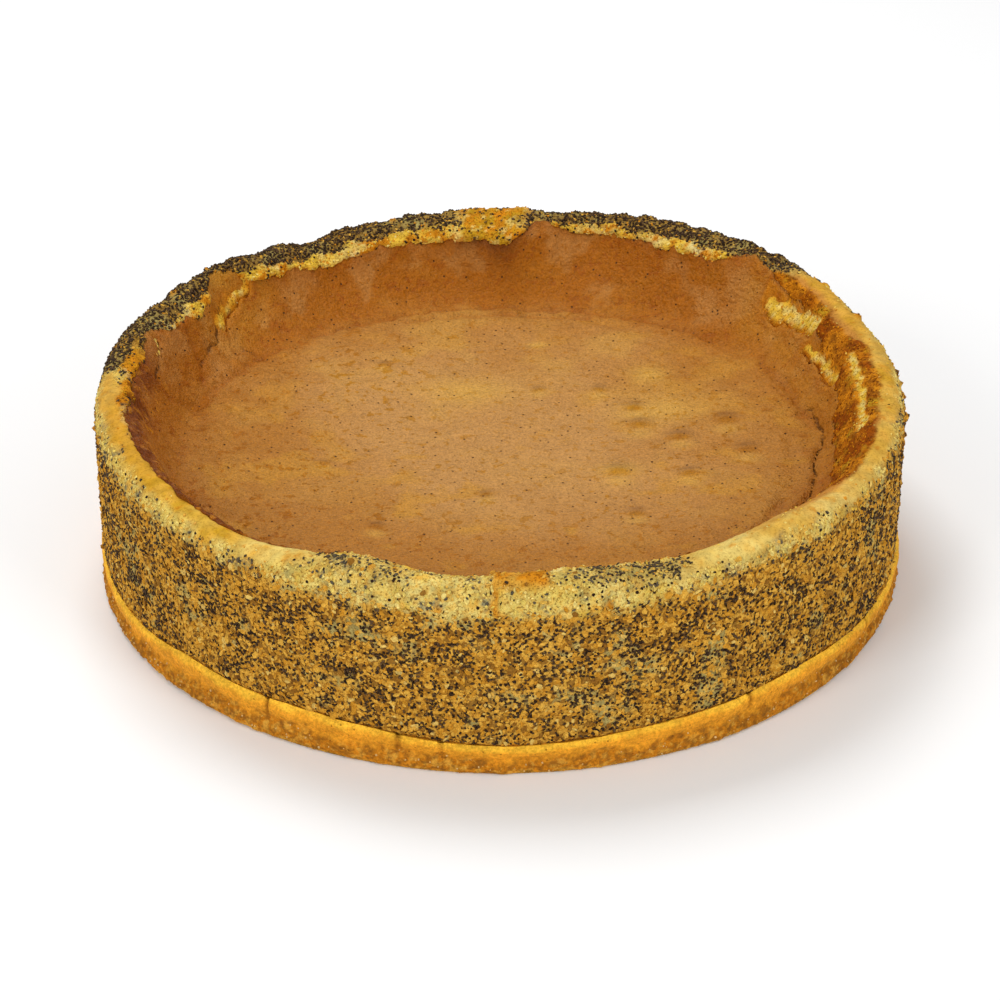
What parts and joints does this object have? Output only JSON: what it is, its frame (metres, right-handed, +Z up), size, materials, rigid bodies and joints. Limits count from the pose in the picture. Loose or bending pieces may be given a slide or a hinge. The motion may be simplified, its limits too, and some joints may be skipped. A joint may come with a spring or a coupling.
{
  "type": "poppy seed cake",
  "caption": "Whole round poppy seed cake with a sunken, browned top, a torn crumbly rim and a shortcrust base.",
  "frame": {"origin": "centre of the pastry base's underside, where the cake stands", "axes": "+Z up; the cake is round, and -Y is the side that faces the viewer of the picture, with +X to their right"},
  "size_m": [0.2686, 0.2685, 0.0724],
  "materials": {
    "filling": "matte baked poppy seed crumb with a tan, browned skin on top",
    "pastry": "matte golden shortcrust with a sandy edge"
  },
  "bodies": {
    "root": {"pastry_base": "pastry", "poppy_filling": "filling"}
  },
  "joints": []
}
